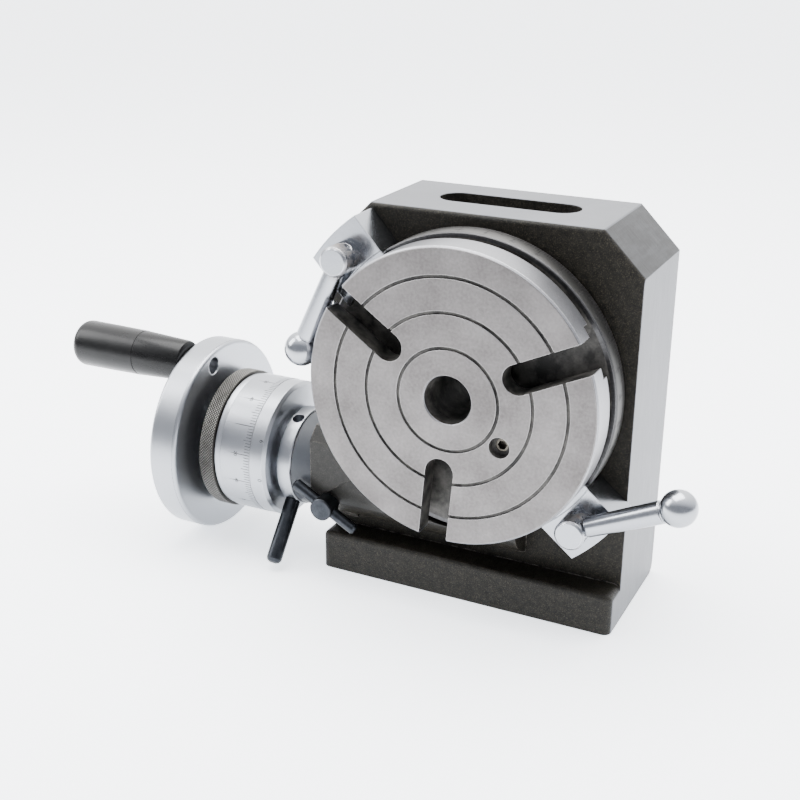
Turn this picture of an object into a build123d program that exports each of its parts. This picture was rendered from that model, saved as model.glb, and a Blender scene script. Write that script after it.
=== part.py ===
from build123d import *
from math import acos, atan2, cos, degrees, pi, radians, sin, sqrt, tan
import os

# Rotary table for a milling machine, standing upright on its foot.
# Millimetres. X runs along the worm shaft (the handwheel is at -X), Y runs from the
# face of the table to the back of the casting, Z is up. The origin is the middle of
# the foot's underside. Depths are measured back from the table's face, angles about
# the table axis from +X towards +Z, and angles about the worm from +Y towards +Z.

# Running and assembly clearances
RUN = 0.03          # radial, journals and pins that turn
SLIP = 0.3          # radial, screws that pass through
NIP = 0.05          # between flat faces that turn on each other
OVERRUN = 5.0       # how far a hole's cut runs out past the face it starts from

# Casting
CENTRE_H = 87.0     # table axis above the foot's underside
BODY_W = 119.0
BODY_TOP = 60.1     # above the table axis
BODY_FRONT = 26.6   # depth of the front wall's face
BODY_BACK = 71.4
FOOT_FRONT = 15.5
FOOT_T = 15.8
CORNER = 15.4       # 45 degree corners of the top
FRONT_WALL = 18.0
SIDE_WALL = 10.5
TOP_WALL = 12.0
CAST_R = 1.6        # rounding of the cast edges
FOOT_CORNER_R = 3.0
BACK_EDGE_R = 4.0   # rounding of the foot's back edge
HOLLOW_BEVEL = 8.0  # corners of the hollow
FOOT_SLOT = (52.0, 14.0, 0.0, 50.5)    # length, width, middle X and depth of the middle
TOP_SLOT = (54.4, 15.0, 1.2, 50.0)
BLOCK_OVER = 2.0    # worm housing's block above the top of its nose
BLOCK_UNDER = 1.0   # nose below the block's underside
BLOCK_PROUD = 4.0   # block in front of the front wall
BLOCK_BURIED = 12.0
BARREL_PAST = 6.0   # how far the barrel runs on past the worm shaft's tail
PAD_FRONT = 12.0    # depth of the pad on the front of the worm's housing
PAD_BEVEL = 5.0
PAD_IN_X = -40.0
PAD_IN_DROP = 14.36     # pad's lower edge under the block's top, at its inner end
PAD_OUT_DROP = 30.46
SEAT_IN = 44.0
SEAT_OUT = 53.0
BOSS_R = 24.0
BOSS_END = 57.6

# Table
FACE_R = 55.0
RIM_T = 12.0
GROOVE_R = 50.2     # root of the groove that the clamps reach into
FLANGE_R = 56.3
FLANGE_FRONT = 15.6
FLANGE_BACK = 24.2
RING_PITCH = 12.7   # the turned rings stand half an inch apart
RING_FIRST = 19.05
RING_W = 1.3
RING_D = 0.8
BORE_R = 9.0        # locating bore in front of the taper
BORE_L = 6.0
TAPER_R = 8.89      # No. 2 Morse taper at its gauge line
TAPER_SLOPE = 0.02497
SPINDLE_R = 17.0
THREAD_R = 15.0
SPINDLE_END = 69.0
HUB_R = 28.0
TABLE_TURN = -5.0   # how far the table stands turned
TEE_NECK = 11.0
TEE_HEAD = 19.0
TEE_NECK_D = 8.3
TEE_END_R = 22.8
FACE_SCREW_AT = 24.5
FACE_SCREW_ANGLE = -30.0
WHEEL_SCREW_AT = 33.0
WHEEL_SCREW_R = 2.0
WHEEL_SCREW_END = 17.4
EDGE = 0.8          # bevels of the turned edges

# Worm gear
TEETH = 72
MODULE = 1.1
PRESSURE = 20.0
WORM_PITCH_R = 7.0
WHEEL_DEPTH = 33.0  # depth of the wheel's middle plane and of the worm's axis
WHEEL_W = 10.0
WHEEL_SHOULDER_R = 37.4
BACKLASH = 0.1
WORM_TURNS = 8
ECCENTRIC = 1.9     # worm axis from the sleeve's own axis
THROW_ANGLE = 45.0  # direction of that offset at rest

# Stations along the worm shaft
BLOCK_X = -62.5
NOSE_X = -71.9
COLLAR_X = -72.0
FLANGE_X = -79.7
DIAL_X = -86.5
RING_X = -99.95
WHEEL_X = -113.5
GRIP_L = 52.8
SLEEVE_IN_X = -47.5
TAIL_X = 16.0

# Parts on the worm shaft
SLEEVE_R = 15.0
NOSE_R = 19.0
COLLAR_R = 19.7
COLLAR_T = 6.0
DIAL_R = 27.65
BUSH_R = 8.5
SHAFT_R = 6.0
HUB_SHAFT_R = 5.5
DIAL_SEAT_R = 19.0
KNURL_R = 28.4
LOCK_RING_T = 9.95
WHEEL_R = 39.6
WHEEL_T = 12.1
CRANK_IN = 5.3      # crank pin's axis inside the handwheel's rim
CRANK_ANGLE = 105.5
PIN_R = 3.5
SHOULDER_R = 4.2
GRIP_R1 = 8.3
GRIP_JOINT_R = 9.3
GRIP_R2 = 9.6
GRIP_END_R = 3.6    # rounding of the outer end
LEVER_R = 3.1
LEVER_ANGLE = -129.5
LEVER_END = 46.0

# Lock bolt of the sleeve
LOCK_X = -54.6
LOCK_Z = -56.9
LOCK_R = 4.5
LOCK_END = 5.0
LOCK_BAR_R = 2.25
LOCK_BAR_L = 30.3
LOCK_BAR_ANGLE = -28.8
LOCK_BAR_DEPTH = 9.0
LOCK_THREAD_R = 3.0
LOCK_GROOVE_R = 12.5

# Table clamps: angle of the bolt, direction of the block, direction of the lever
CLAMPS = {"upper": (136.4, 131.4, -114.2), "lower": (-42.3, -39.2, 24.5)}
CLAMP_AT = 63.0
CLAMP_W = 24.4
CLAMP_T = 14.4
CLAMP_LIP = 9.3     # from the bolt's axis to the block's outer edge
CLAMP_GAP = 0.2     # how far a slack clamp stands off its seats
TOE_REACH = 5.6
TOE_GAP = 0.35
TOE_T = 3.0
CLAMP_BOLT_R = 4.0
CLAMP_HEAD_R = 5.5
CLAMP_HEAD_L = 11.0
CLAMP_HOLE_D = 15.4
LEVER_DEPTH = 6.5
LEVER_LEN = 39.5
BALL_R = 6.5
LEVER_PIN_R = 2.5
LEVER_ROD_R1 = 3.6
LEVER_ROD_R2 = 4.1
LEVER_NECK_R = 3.6
LEVER_NECK_L = 0.6

# Screws, nuts and washers
FACE_SCREW_SINK = 3.0
FACE_SCREW_L = 11.0
FACE_SCREW_R = 2.35
FACE_HOLE_R = 3.9
FACE_SOCKET_R = 1.75
FACE_SOCKET_D = 3.0
CAP_HEAD = 1.75     # cap screws: head's radius for each millimetre of the shank's
CAP_SINK = 2.25     # depth of the counterbore, likewise
CAP_SOCKET = 0.85
WASHER_T = 2.0
NUT_T = 8.0
NUT_SLOT_D = 3.0    # slots for the hook spanner
NUT_SLOT_W = 5.0
NUT_SCREW_R = 2.0
THRUST_R = 8.0
THRUST_T = 3.5
HUB_X = -86.45      # where the dial's hub meets the end of the sleeve
KEY_W = 3.0
WHEEL_NUT_X = -126.6
SHAFT_THREAD_R = 5.0
SHAFT_END_X = -135.5
HUB_BOSS_R = 14.0
HUB_FRONT_X = -110.1
DISH_R = 29.0
DISH_D = 4.5
HUB_FLANGE_R = 23.0
HUB_FLANGE_T = 2.0
NUT_AF = 17.0
WHEEL_NUT_T = 6.5
PIN_END_X = -118.0
PIN_HEAD_R = 5.8
PIN_HEAD_T = 3.4
GRIP_SHOULDER = 21.8
GRIP_SINK_R = 6.2
GRIP_SINK_D = 5.0
LEVER_HOLE_R = 2.4
LEVER_ROOT = 12.9   # how near to the sleeve's axis the lever's holes reach
LOCK_GROOVE_W = 7.0
PAD_R = 3.0
PAD_TOP = 17.2      # depth of the lock pad's front end

# Places worked out from the sizes above
FACE_Y = -(FOOT_FRONT + BODY_BACK) / 2
WHEEL_PITCH_R = TEETH * MODULE / 2
WORM_Y = FACE_Y + WHEEL_DEPTH
WORM_Z = CENTRE_H - WHEEL_PITCH_R - WORM_PITCH_R
THROW_Y = ECCENTRIC * cos(radians(THROW_ANGLE))
THROW_Z = ECCENTRIC * sin(radians(THROW_ANGLE))
SLEEVE_Y = WORM_Y - THROW_Y
SLEEVE_Z = WORM_Z - THROW_Z
WORM_TIP_R = WORM_PITCH_R + MODULE
WORM_ROOT_R = WORM_PITCH_R - 1.25 * MODULE
PITCH = pi * MODULE
POCKET_R = WHEEL_PITCH_R + MODULE + 1.3
POCKET_BACK = WHEEL_DEPTH + WHEEL_W / 2 + 1.6
TUNNEL_R = WORM_TIP_R + ECCENTRIC + 0.6
CAVITY_FRONT = BODY_FRONT + FRONT_WALL
RIM_CLEAR_R = FLANGE_R + 1.0
SEAT_FRONT = FLANGE_BACK + NIP
GRIP_X = WHEEL_X - WHEEL_T - 0.3
CRANK_R = WHEEL_R - CRANK_IN
CLAMP_OUT_R = CLAMP_AT + CLAMP_LIP
CRANK_Y = WORM_Y + CRANK_R * cos(radians(CRANK_ANGLE))
CRANK_Z = WORM_Z + CRANK_R * sin(radians(CRANK_ANGLE))

TABLE_AXIS = Axis((0, FACE_Y, CENTRE_H), (0, 1, 0))
WORM_AXIS = Axis((0, WORM_Y, WORM_Z), (1, 0, 0))
SLEEVE_AXIS = Axis((0, SLEEVE_Y, SLEEVE_Z), (1, 0, 0))
CRANK_AXIS = Axis((0, CRANK_Y, CRANK_Z), (1, 0, 0))

# Planes of the turned profiles: length along the axis first, then radius
TABLE_TURNED = Plane((0, FACE_Y, CENTRE_H), x_dir=(0, 1, 0), z_dir=(1, 0, 0))
WORM_TURNED = Plane((0, WORM_Y, WORM_Z), x_dir=(1, 0, 0), z_dir=(0, -1, 0))
SLEEVE_TURNED = Plane((0, SLEEVE_Y, SLEEVE_Z), x_dir=(1, 0, 0), z_dir=(0, -1, 0))
CRANK_TURNED = Plane((0, CRANK_Y, CRANK_Z), x_dir=(1, 0, 0), z_dir=(0, -1, 0))

os.makedirs("parts", exist_ok=True)


def front(depth):
    """Plane across the table axis at a depth behind the face, seen from the front."""
    return Plane((0, FACE_Y + depth, CENTRE_H), x_dir=(1, 0, 0), z_dir=(0, -1, 0))


def across(x, y=0.0, z=0.0):
    """Plane across the X direction, with +Y to its right and +Z up."""
    return Plane((x, y, z), x_dir=(0, 1, 0), z_dir=(1, 0, 0))


def outline(*points):
    """Fill the closed outline through the points, in the sketch being drawn."""
    Polygon(*points, align=None)


def around(radius, angle):
    """Point at a radius and angle in the sketch being drawn."""
    return (radius * cos(radians(angle)), radius * sin(radians(angle)))


def save(builder, name):
    builder.part.label = name
    export_step(builder.part, f"parts/{name}.step")


# Body casting: a box open at the back, on a foot, with the worm's housing on its left.
half = BODY_W / 2
inside = half - SIDE_WALL
foot_top = FOOT_T - CENTRE_H
block_back = SLEEVE_Y - FACE_Y + NOSE_R
block_low = SLEEVE_Z - CENTRE_H - NOSE_R + BLOCK_UNDER
block_top = SLEEVE_Z - CENTRE_H + NOSE_R + BLOCK_OVER
pad_in = (PAD_IN_X, block_top - PAD_IN_DROP)
pad_out = (BLOCK_X, block_top - PAD_OUT_DROP)
with BuildPart() as body_casting:
    with BuildSketch(front(BODY_BACK)):
        outline(
            (-half, -CENTRE_H),
            (half, -CENTRE_H),
            (half, BODY_TOP - CORNER),
            (half - CORNER, BODY_TOP),
            (CORNER - half, BODY_TOP),
            (-half, BODY_TOP - CORNER),
        )
    extrude(amount=BODY_BACK - BODY_FRONT)
    front_face = body_casting.faces().sort_by(Axis.Y)[0]
    fillet(front_face.edges().filter_by(lambda e: e.center().Z > CENTRE_H), CAST_R)
    with BuildSketch(Plane.XY):
        with Locations((0, FACE_Y + FOOT_FRONT)):
            Rectangle(BODY_W, BODY_BACK - FOOT_FRONT, align=(Align.CENTER, Align.MIN))
    extrude(amount=FOOT_T)
    foot_face = body_casting.faces().sort_by(Axis.Y)[0]
    fillet(foot_face.edges().sort_by(Axis.Z)[-1], CAST_R)
    foot_face = body_casting.faces().sort_by(Axis.Y)[0]
    fillet(foot_face.edges().filter_by(Axis.Z), FOOT_CORNER_R)
    back_face = body_casting.faces().sort_by(Axis.Y)[-1]
    fillet(back_face.edges().sort_by(Axis.Z)[0], BACK_EDGE_R)
    # the hollow, open at the back, round the boss that carries the spindle
    with BuildSketch(front(BODY_BACK)):
        outline(
            (-inside, foot_top),
            (inside, foot_top),
            (inside, BODY_TOP - TOP_WALL - HOLLOW_BEVEL),
            (inside - HOLLOW_BEVEL, BODY_TOP - TOP_WALL),
            (HOLLOW_BEVEL - inside, BODY_TOP - TOP_WALL),
            (-inside, BODY_TOP - TOP_WALL - HOLLOW_BEVEL),
        )
    extrude(amount=BODY_BACK - CAVITY_FRONT, mode=Mode.SUBTRACT)
    with BuildSketch(front(BOSS_END)):
        Circle(BOSS_R)
    extrude(amount=BOSS_END - BODY_FRONT)
    with BuildSketch(front(BODY_FRONT)):
        Circle(SEAT_OUT)
    extrude(amount=BODY_FRONT - SEAT_FRONT)
    # the worm's housing: block, front pad with a bevelled top edge, barrel and nose
    with BuildSketch(front(block_back)):
        outline(
            (BLOCK_X, block_low),
            (BLOCK_BURIED - half, block_low),
            (BLOCK_BURIED - half, block_top),
            (BLOCK_X, block_top),
        )
    extrude(amount=block_back - (BODY_FRONT - BLOCK_PROUD))
    with BuildSketch(front(BODY_FRONT)):
        outline((BLOCK_X, block_top), (PAD_IN_X, block_top), pad_in, pad_out)
    extrude(amount=BODY_FRONT - PAD_FRONT)
    pad_edges = body_casting.edges().filter_by(Axis.X).filter_by_position(
        Axis.Y, FACE_Y + PAD_FRONT - 0.1, FACE_Y + PAD_FRONT + 0.1
    )
    chamfer(pad_edges.sort_by(Axis.Z)[-1], PAD_BEVEL)
    with BuildSketch(across(NOSE_X, SLEEVE_Y, SLEEVE_Z)):
        Circle(NOSE_R)
    extrude(amount=TAIL_X + BARREL_PAST - NOSE_X)
    # the room for the table's flange, the wheel's pocket and the spindle's bore
    with BuildSketch(front(SEAT_FRONT)):
        Circle(RIM_CLEAR_R)
    extrude(amount=SEAT_FRONT, mode=Mode.SUBTRACT)
    with BuildSketch(front(BODY_FRONT)):
        Circle(RIM_CLEAR_R)
        Circle(SEAT_OUT, mode=Mode.SUBTRACT)
    extrude(amount=BODY_FRONT - SEAT_FRONT, mode=Mode.SUBTRACT)
    with BuildSketch(front(POCKET_BACK)):
        Circle(POCKET_R)
    extrude(amount=POCKET_BACK, mode=Mode.SUBTRACT)
    with BuildSketch(front(BODY_BACK)):
        Circle(SPINDLE_R + RUN)
    extrude(amount=BODY_BACK, mode=Mode.SUBTRACT)
    # the sleeve's bore and the tunnel in which the worm drops clear of its wheel
    with BuildSketch(across(NOSE_X, SLEEVE_Y, SLEEVE_Z)):
        Circle(SLEEVE_R + RUN)
    extrude(amount=SLEEVE_IN_X - NOSE_X + 0.5, mode=Mode.SUBTRACT)
    with BuildSketch(across(SLEEVE_IN_X, SLEEVE_Y, SLEEVE_Z)):
        Circle(TUNNEL_R)
    extrude(amount=TAIL_X + 1 - SLEEVE_IN_X, mode=Mode.SUBTRACT)
    # long bolt slots through the top and the foot
    for (length, width, middle_x, depth), low, high in (
        (FOOT_SLOT, 0, FOOT_T),
        (TOP_SLOT, CENTRE_H + BODY_TOP - TOP_WALL, CENTRE_H + BODY_TOP),
    ):
        with BuildSketch(Plane.XY.offset(low - 1)):
            with Locations((middle_x, FACE_Y + depth)):
                SlotOverall(length, width)
        extrude(amount=high - low + 2, mode=Mode.SUBTRACT)
    # tapped holes for the two clamps and for the sleeve's lock bolt
    with BuildSketch(front(BODY_FRONT + CLAMP_HOLE_D)):
        with Locations(*[around(CLAMP_AT, clamp[0]) for clamp in CLAMPS.values()]):
            Circle(CLAMP_BOLT_R + NIP)
    extrude(amount=CLAMP_HOLE_D + OVERRUN, mode=Mode.SUBTRACT)
    with BuildSketch(front(WHEEL_DEPTH - THROW_Y)):
        with Locations((LOCK_X, LOCK_Z)):
            Circle(LOCK_THREAD_R + NIP)
    extrude(amount=WHEEL_DEPTH, mode=Mode.SUBTRACT)
save(body_casting, "body_casting")


# Table: a slotted disc with a graduated flange, and the hollow spindle behind it.
wheel_front = WHEEL_DEPTH - WHEEL_W / 2
wheel_back = WHEEL_DEPTH + WHEEL_W / 2
slot_angles = [TABLE_TURN + 30 + 120 * k for k in range(3)]
tee_centre_r = TEE_END_R + TEE_NECK / 2
screw_angles = [TABLE_TURN + 60 * k for k in range(6)]
with BuildPart() as table_plate:
    with BuildSketch(TABLE_TURNED):
        outline(
            (0, BORE_R + EDGE / 2),
            (0, FACE_R - EDGE),
            (EDGE, FACE_R),
            (RIM_T - EDGE / 2, FACE_R),
            (RIM_T, FACE_R - EDGE / 2),
            (RIM_T, GROOVE_R),
            (FLANGE_FRONT, GROOVE_R),
            (FLANGE_FRONT, FLANGE_R - EDGE / 2),
            (FLANGE_FRONT + EDGE / 2, FLANGE_R),
            (FLANGE_BACK, FLANGE_R),
            (FLANGE_BACK, HUB_R),
            (wheel_back, HUB_R),
            (wheel_back, SPINDLE_R),
            (BOSS_END, SPINDLE_R),
            (BOSS_END, THREAD_R),
            (SPINDLE_END - EDGE, THREAD_R),
            (SPINDLE_END, THREAD_R - EDGE),
            (SPINDLE_END, TAPER_R - TAPER_SLOPE * (SPINDLE_END - BORE_L)),
            (BORE_L, TAPER_R),
            (BORE_L, BORE_R),
            (EDGE / 2, BORE_R),
        )
    revolve(axis=TABLE_AXIS)
    # three T-slots, open at the rim and round at their inner ends
    for width, floor, depth in (
        (TEE_NECK, TEE_NECK_D, TEE_NECK_D),
        (TEE_HEAD, FLANGE_FRONT, FLANGE_FRONT - TEE_NECK_D),
    ):
        with BuildSketch(front(floor)):
            for angle in slot_angles:
                with Locations(around(tee_centre_r, angle)):
                    Circle(width / 2)
                    Rectangle(FACE_R, width, rotation=angle, align=(Align.MIN, Align.CENTER))
        extrude(amount=depth, mode=Mode.SUBTRACT)
    # turned rings on the face
    with BuildSketch(front(RING_D)):
        for k in (2, 1, 0):
            Circle(RING_FIRST + RING_PITCH * k + RING_W / 2)
            Circle(RING_FIRST + RING_PITCH * k - RING_W / 2, mode=Mode.SUBTRACT)
    extrude(amount=RING_D, mode=Mode.SUBTRACT)
    with BuildSketch(front(FACE_SCREW_SINK)):
        with Locations(around(FACE_SCREW_AT, TABLE_TURN + FACE_SCREW_ANGLE)):
            Circle(FACE_HOLE_R)
    extrude(amount=FACE_SCREW_SINK, mode=Mode.SUBTRACT)
    with BuildSketch(front(FACE_SCREW_SINK + FACE_SCREW_L)):
        with Locations(around(FACE_SCREW_AT, TABLE_TURN + FACE_SCREW_ANGLE)):
            Circle(FACE_SCREW_R + NIP)
    extrude(amount=FACE_SCREW_L, mode=Mode.SUBTRACT)
    with BuildSketch(front(FLANGE_BACK)):
        with Locations(*[around(WHEEL_SCREW_AT, angle) for angle in screw_angles]):
            Circle(WHEEL_SCREW_R + NIP)
    extrude(amount=FLANGE_BACK - WHEEL_SCREW_END, mode=Mode.SUBTRACT)
save(table_plate, "table_plate")

# Set screw in the face, with a hexagon socket, that stops up a grease hole.
with BuildPart() as face_screw:
    with BuildSketch(front(FACE_SCREW_SINK + FACE_SCREW_L - 2)):
        with Locations(around(FACE_SCREW_AT, TABLE_TURN + FACE_SCREW_ANGLE)):
            Circle(FACE_SCREW_R)
    extrude(amount=FACE_SCREW_L - 2.2)
    with BuildSketch(front(FACE_SCREW_SINK + FACE_SOCKET_D)):
        with Locations(around(FACE_SCREW_AT, TABLE_TURN + FACE_SCREW_ANGLE)):
            RegularPolygon(FACE_SOCKET_R, 6)
    extrude(amount=FACE_SOCKET_D, mode=Mode.SUBTRACT)
save(face_screw, "face_screw")


def involute(angle):
    return tan(angle) - angle


def wheel_outline(turned):
    """Outline of the wheel's teeth in one plane across it, turned by an angle in degrees."""
    base_r = WHEEL_PITCH_R * cos(radians(PRESSURE))
    half_pitch_tooth = (PITCH / 2 - BACKLASH / 2) / (2 * WHEEL_PITCH_R)
    points = []
    for k in range(TEETH):
        middle = radians(-90 + (k + 0.5) * 360 / TEETH + turned)
        flank = []
        for radius in (WHEEL_PITCH_R - 1.25 * MODULE, WHEEL_PITCH_R, WHEEL_PITCH_R + MODULE):
            rolled = involute(acos(base_r / radius))
            flank.append((radius, half_pitch_tooth + involute(radians(PRESSURE)) - rolled))
        sides = [(r, middle - a) for r, a in flank] + [(r, middle + a) for r, a in reversed(flank)]
        points += [(r * cos(a), r * sin(a)) for r, a in sides]
    return points


# Worm wheel: helical teeth that lean with the worm's thread, on a shouldered ring.
lead_angle = atan2(MODULE, 2 * WORM_PITCH_R)
wheel_lean = degrees(WHEEL_W / 2 * tan(lead_angle) / WHEEL_PITCH_R)
with BuildPart() as worm_wheel:
    for depth, turned in ((wheel_front, wheel_lean), (wheel_back, -wheel_lean)):
        with BuildSketch(front(depth)):
            outline(*wheel_outline(turned))
    loft(ruled=True)
    with BuildSketch(front(wheel_front)):
        Circle(WHEEL_SHOULDER_R)
    extrude(amount=wheel_front - FLANGE_BACK)
    with BuildSketch(front(wheel_back)):
        Circle(HUB_R + RUN)
        with Locations(*[around(WHEEL_SCREW_AT, angle) for angle in screw_angles]):
            Circle(WHEEL_SCREW_R + SLIP)
    extrude(amount=wheel_back - FLANGE_BACK, mode=Mode.SUBTRACT)
    with BuildSketch(front(wheel_back)):
        with Locations(*[around(WHEEL_SCREW_AT, angle) for angle in screw_angles]):
            Circle(CAP_HEAD * WHEEL_SCREW_R + SLIP)
    extrude(amount=CAP_SINK * WHEEL_SCREW_R, mode=Mode.SUBTRACT)
save(worm_wheel, "worm_wheel")

# Six socket screws that hold the wheel to the back of the table.
screw_seat = wheel_back - CAP_SINK * WHEEL_SCREW_R
with BuildPart() as wheel_screws:
    with BuildSketch(front(screw_seat)):
        with Locations(*[around(WHEEL_SCREW_AT, angle) for angle in screw_angles]):
            Circle(WHEEL_SCREW_R)
    extrude(amount=screw_seat - WHEEL_SCREW_END - NIP)
    with BuildSketch(front(screw_seat + 2 * WHEEL_SCREW_R)):
        with Locations(*[around(WHEEL_SCREW_AT, angle) for angle in screw_angles]):
            Circle(CAP_HEAD * WHEEL_SCREW_R)
            RegularPolygon(CAP_SOCKET * WHEEL_SCREW_R, 6, mode=Mode.SUBTRACT)
    extrude(amount=2 * WHEEL_SCREW_R)
    with BuildSketch(front(screw_seat + WHEEL_SCREW_R)):
        with Locations(*[around(WHEEL_SCREW_AT, angle) for angle in screw_angles]):
            Circle(1.5 * WHEEL_SCREW_R)
    extrude(amount=WHEEL_SCREW_R)
save(wheel_screws, "wheel_screws")

# Bronze thrust washer and the ring nut that draw the spindle back into its boss.
nut_front = BOSS_END + WASHER_T + NIP
with BuildPart() as thrust_washer:
    with BuildSketch(front(BOSS_END + WASHER_T)):
        Circle(BOSS_R - 1)
        Circle(THREAD_R + SLIP, mode=Mode.SUBTRACT)
    extrude(amount=WASHER_T)
save(thrust_washer, "thrust_washer")
with BuildPart() as spindle_nut:
    with BuildSketch(front(nut_front + NUT_T)):
        Circle(BOSS_R - 1)
        Circle(THREAD_R + NIP, mode=Mode.SUBTRACT)
        for k in range(4):
            with Locations(around(BOSS_R - 1, 45 + 90 * k)):
                Rectangle(2 * NUT_SLOT_D, NUT_SLOT_W, rotation=45 + 90 * k, mode=Mode.SUBTRACT)
    extrude(amount=NUT_T)
    chamfer(spindle_nut.faces().sort_by(Axis.Y)[-1].edges().filter_by(GeomType.CIRCLE), 0.5)
    with BuildSketch(Plane((0, FACE_Y + nut_front + NUT_T / 2, CENTRE_H), z_dir=(0, 0, 1))):
        Circle(NUT_SCREW_R + NIP)
    extrude(amount=BOSS_R, mode=Mode.SUBTRACT)
save(spindle_nut, "spindle_nut")
with BuildPart() as nut_set_screw:
    with BuildSketch(Plane((0, FACE_Y + nut_front + NUT_T / 2, CENTRE_H + THREAD_R + NIP), z_dir=(0, 0, 1))):
        Circle(NUT_SCREW_R)
    extrude(amount=BOSS_R - THREAD_R - 1.5)
    with BuildSketch(nut_set_screw.faces().sort_by(Axis.Z)[-1]):
        RegularPolygon(NUT_SCREW_R * 0.6, 6)
    extrude(amount=-NUT_SCREW_R, mode=Mode.SUBTRACT)
save(nut_set_screw, "nut_set_screw")

# Worm shaft: a right-hand thread cut on the shaft, a thrust shoulder and the journals.
thread_start = -WORM_TURNS / 2 * PITCH
flank = tan(radians(PRESSURE))
tooth_half = (PITCH / 2 - BACKLASH) / 2
with BuildPart() as worm_shaft:
    with BuildLine() as helix:
        Helix(
            PITCH, WORM_TURNS * PITCH, WORM_PITCH_R,
            center=(thread_start, WORM_Y, WORM_Z), direction=(1, 0, 0),
        )
    start = helix.wire() @ 0
    outward = start - Vector(thread_start, WORM_Y, WORM_Z)
    with BuildSketch(Plane(start, x_dir=outward, z_dir=helix.wire() % 0)):
        dig = WORM_PITCH_R - WORM_ROOT_R + 2 * NIP
        outline(
            (-dig, -tooth_half - dig * flank),
            (MODULE, -tooth_half + MODULE * flank),
            (MODULE, tooth_half - MODULE * flank),
            (-dig, tooth_half + dig * flank),
        )
    sweep(path=helix.wire(), is_frenet=True)
    with BuildSketch(WORM_TURNED):
        outline(
            (TAIL_X, 0),
            (TAIL_X, HUB_SHAFT_R - EDGE),
            (TAIL_X - EDGE, HUB_SHAFT_R),
            (PITCH / 2 - thread_start, HUB_SHAFT_R),
            (PITCH / 2 - thread_start, WORM_ROOT_R),
            (thread_start - PITCH / 2, WORM_ROOT_R),
            (thread_start - PITCH, HUB_SHAFT_R),
            (SLEEVE_IN_X + THRUST_T, HUB_SHAFT_R),
            (SLEEVE_IN_X + THRUST_T, THRUST_R),
            (SLEEVE_IN_X + NIP, THRUST_R),
            (SLEEVE_IN_X + NIP, SHAFT_R),
            (HUB_X, SHAFT_R),
            (HUB_X, HUB_SHAFT_R),
            (WHEEL_NUT_X, HUB_SHAFT_R),
            (WHEEL_NUT_X, SHAFT_THREAD_R),
            (SHAFT_END_X + EDGE, SHAFT_THREAD_R),
            (SHAFT_END_X, SHAFT_THREAD_R - EDGE),
            (SHAFT_END_X, 0),
        )
    revolve(axis=WORM_AXIS)
    # keyway of the handwheel
    with BuildSketch(across(WHEEL_X - WHEEL_T + 1.6, WORM_Y, WORM_Z + HUB_SHAFT_R)):
        Rectangle(KEY_W, KEY_W)
    extrude(amount=WHEEL_T, mode=Mode.SUBTRACT)
save(worm_shaft, "worm_shaft")

# Eccentric sleeve: turned about its own axis, bored about the worm's.
lever_x = COLLAR_X - COLLAR_T / 2
sleeve_out_x = HUB_X + NIP
with BuildPart() as eccentric_sleeve:
    with BuildSketch(SLEEVE_TURNED):
        outline(
            (SLEEVE_IN_X, 0),
            (SLEEVE_IN_X, SLEEVE_R - EDGE),
            (SLEEVE_IN_X - EDGE, SLEEVE_R),
            (LOCK_X + LOCK_GROOVE_W / 2, SLEEVE_R),
            (LOCK_X + LOCK_GROOVE_W / 2, LOCK_GROOVE_R),
            (LOCK_X - LOCK_GROOVE_W / 2, LOCK_GROOVE_R),
            (LOCK_X - LOCK_GROOVE_W / 2, SLEEVE_R),
            (COLLAR_X, SLEEVE_R),
            (COLLAR_X, COLLAR_R - EDGE / 2),
            (COLLAR_X - EDGE / 2, COLLAR_R),
            (COLLAR_X - COLLAR_T + EDGE / 2, COLLAR_R),
            (COLLAR_X - COLLAR_T, COLLAR_R - EDGE / 2),
            (COLLAR_X - COLLAR_T, NOSE_R - 3),
            (FLANGE_X, NOSE_R - 3),
            (FLANGE_X, 0),
        )
    revolve(axis=SLEEVE_AXIS)
    with BuildSketch(WORM_TURNED):
        outline(
            (FLANGE_X, 0),
            (FLANGE_X, DIAL_R - 1.25),
            (FLANGE_X - 1.25, DIAL_R),
            (sleeve_out_x, DIAL_R),
            (sleeve_out_x, 0),
        )
    revolve(axis=WORM_AXIS)
    with BuildSketch(across(sleeve_out_x, WORM_Y, WORM_Z)):
        Circle(BUSH_R + RUN)
    extrude(amount=SLEEVE_IN_X - sleeve_out_x, mode=Mode.SUBTRACT)
    # three holes for the lever round the collar
    for k in range(3):
        pointing = radians(LEVER_ANGLE + 120 * k)
        away = Vector(0, cos(pointing), sin(pointing))
        foot = Vector(lever_x, SLEEVE_Y, SLEEVE_Z) + away * LEVER_ROOT
        with BuildSketch(Plane(foot, x_dir=(1, 0, 0), z_dir=away)):
            Circle(LEVER_HOLE_R + NIP)
        extrude(amount=COLLAR_R, mode=Mode.SUBTRACT)
save(eccentric_sleeve, "eccentric_sleeve")

# Bronze bush pressed into the sleeve, in which the worm shaft turns.
with BuildPart() as worm_bush:
    with BuildSketch(across(sleeve_out_x, WORM_Y, WORM_Z)):
        Circle(BUSH_R)
        Circle(SHAFT_R + RUN, mode=Mode.SUBTRACT)
    extrude(amount=SLEEVE_IN_X - sleeve_out_x)
save(worm_bush, "worm_bush")

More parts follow.
